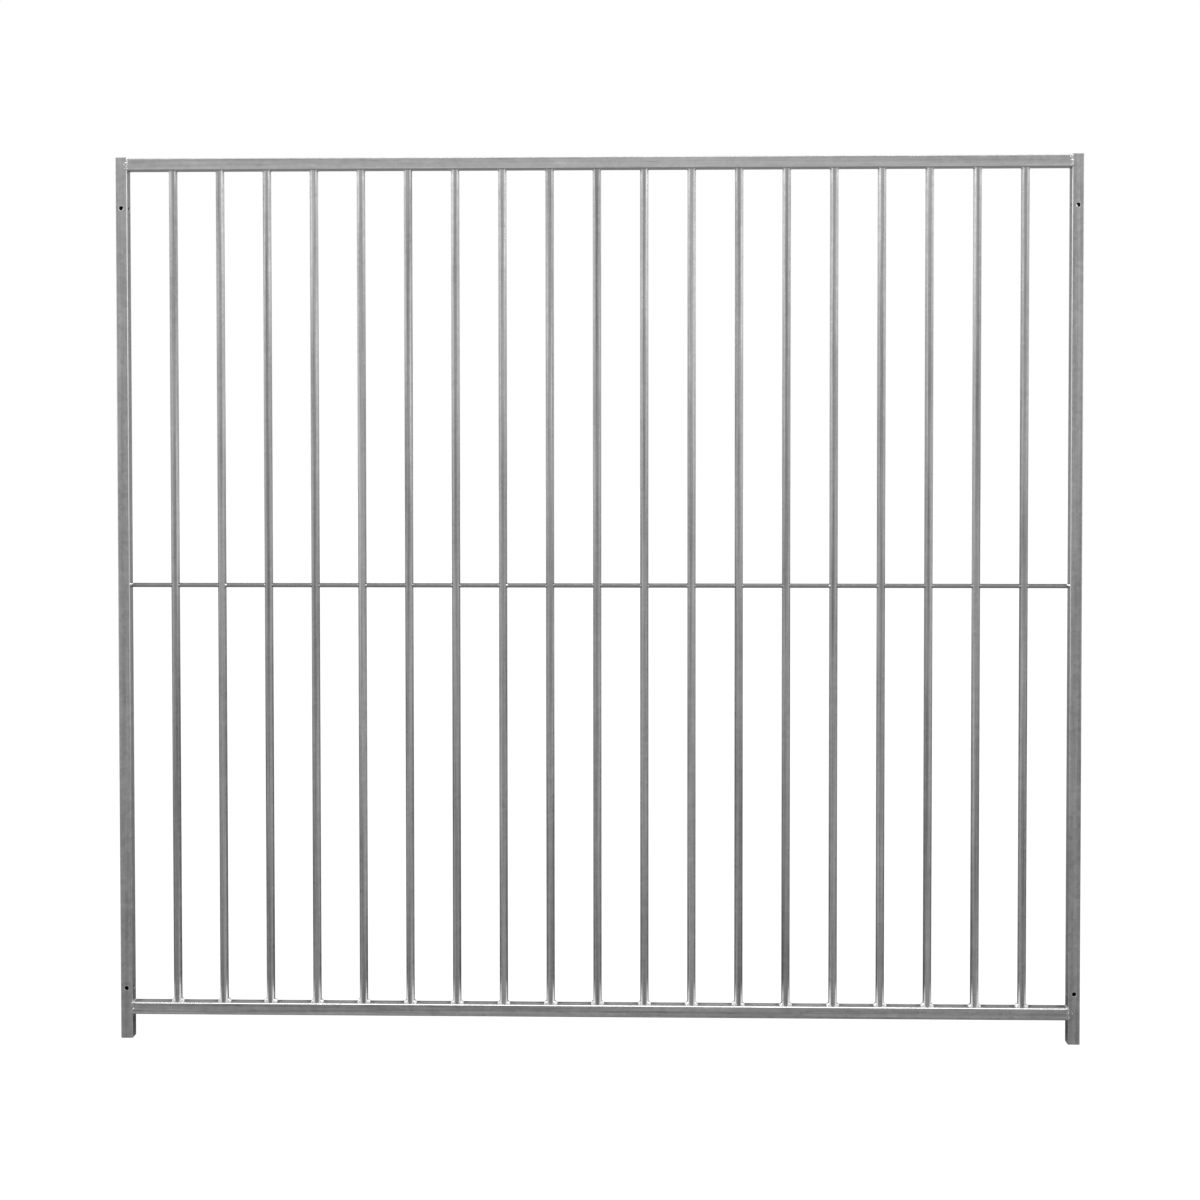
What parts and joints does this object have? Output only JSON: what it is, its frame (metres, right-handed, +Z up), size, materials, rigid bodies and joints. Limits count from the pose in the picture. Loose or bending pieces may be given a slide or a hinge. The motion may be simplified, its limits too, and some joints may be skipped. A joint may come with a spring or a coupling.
{
  "type": "crowd control barrier panel",
  "caption": "Welded galvanised steel barrier panel: square posts and rails, round upright bars, a thin tie rod and drilled posts for bolting to the next panel.",
  "frame": {"origin": "on the ground under the middle of the panel, at the mid-depth of the posts", "axes": "+X to the right along the panel seen from the front, +Y from the front face to the back, +Z up"},
  "size_m": [2, 0.0274, 1.84],
  "materials": {
    "galvanised_section": "dull galvanised zinc on square steel tube",
    "galvanised_bar": "dull galvanised zinc on round steel tube",
    "galvanised_rod": "dull galvanised zinc on solid steel rod",
    "weld_zinc": "bright zinc over weld metal, lumpy"
  },
  "bodies": {
    "root": {"left_post": "galvanised_section", "right_post": "galvanised_section", "top_rail": "galvanised_section", "bottom_rail": "galvanised_section", "bar_01": "galvanised_bar", "bar_02": "galvanised_bar", "bar_03": "galvanised_bar", "bar_04": "galvanised_bar", "bar_05": "galvanised_bar", "bar_06": "galvanised_bar", "bar_07": "galvanised_bar", "bar_08": "galvanised_bar", "bar_09": "galvanised_bar", "bar_10": "galvanised_bar", "bar_11": "galvanised_bar", "bar_12": "galvanised_bar", "bar_13": "galvanised_bar", "bar_14": "galvanised_bar", "bar_15": "galvanised_bar", "bar_16": "galvanised_bar", "bar_17": "galvanised_bar", "bar_18": "galvanised_bar", "bar_19": "galvanised_bar", "tie_rod": "galvanised_rod", "weld_top_left": "weld_zinc", "weld_top_right": "weld_zinc", "weld_bottom_left": "weld_zinc", "weld_bottom_right": "weld_zinc", "bar_head_welds": "weld_zinc", "bar_foot_welds": "weld_zinc", "tie_tack_welds": "weld_zinc"}
  },
  "joints": []
}
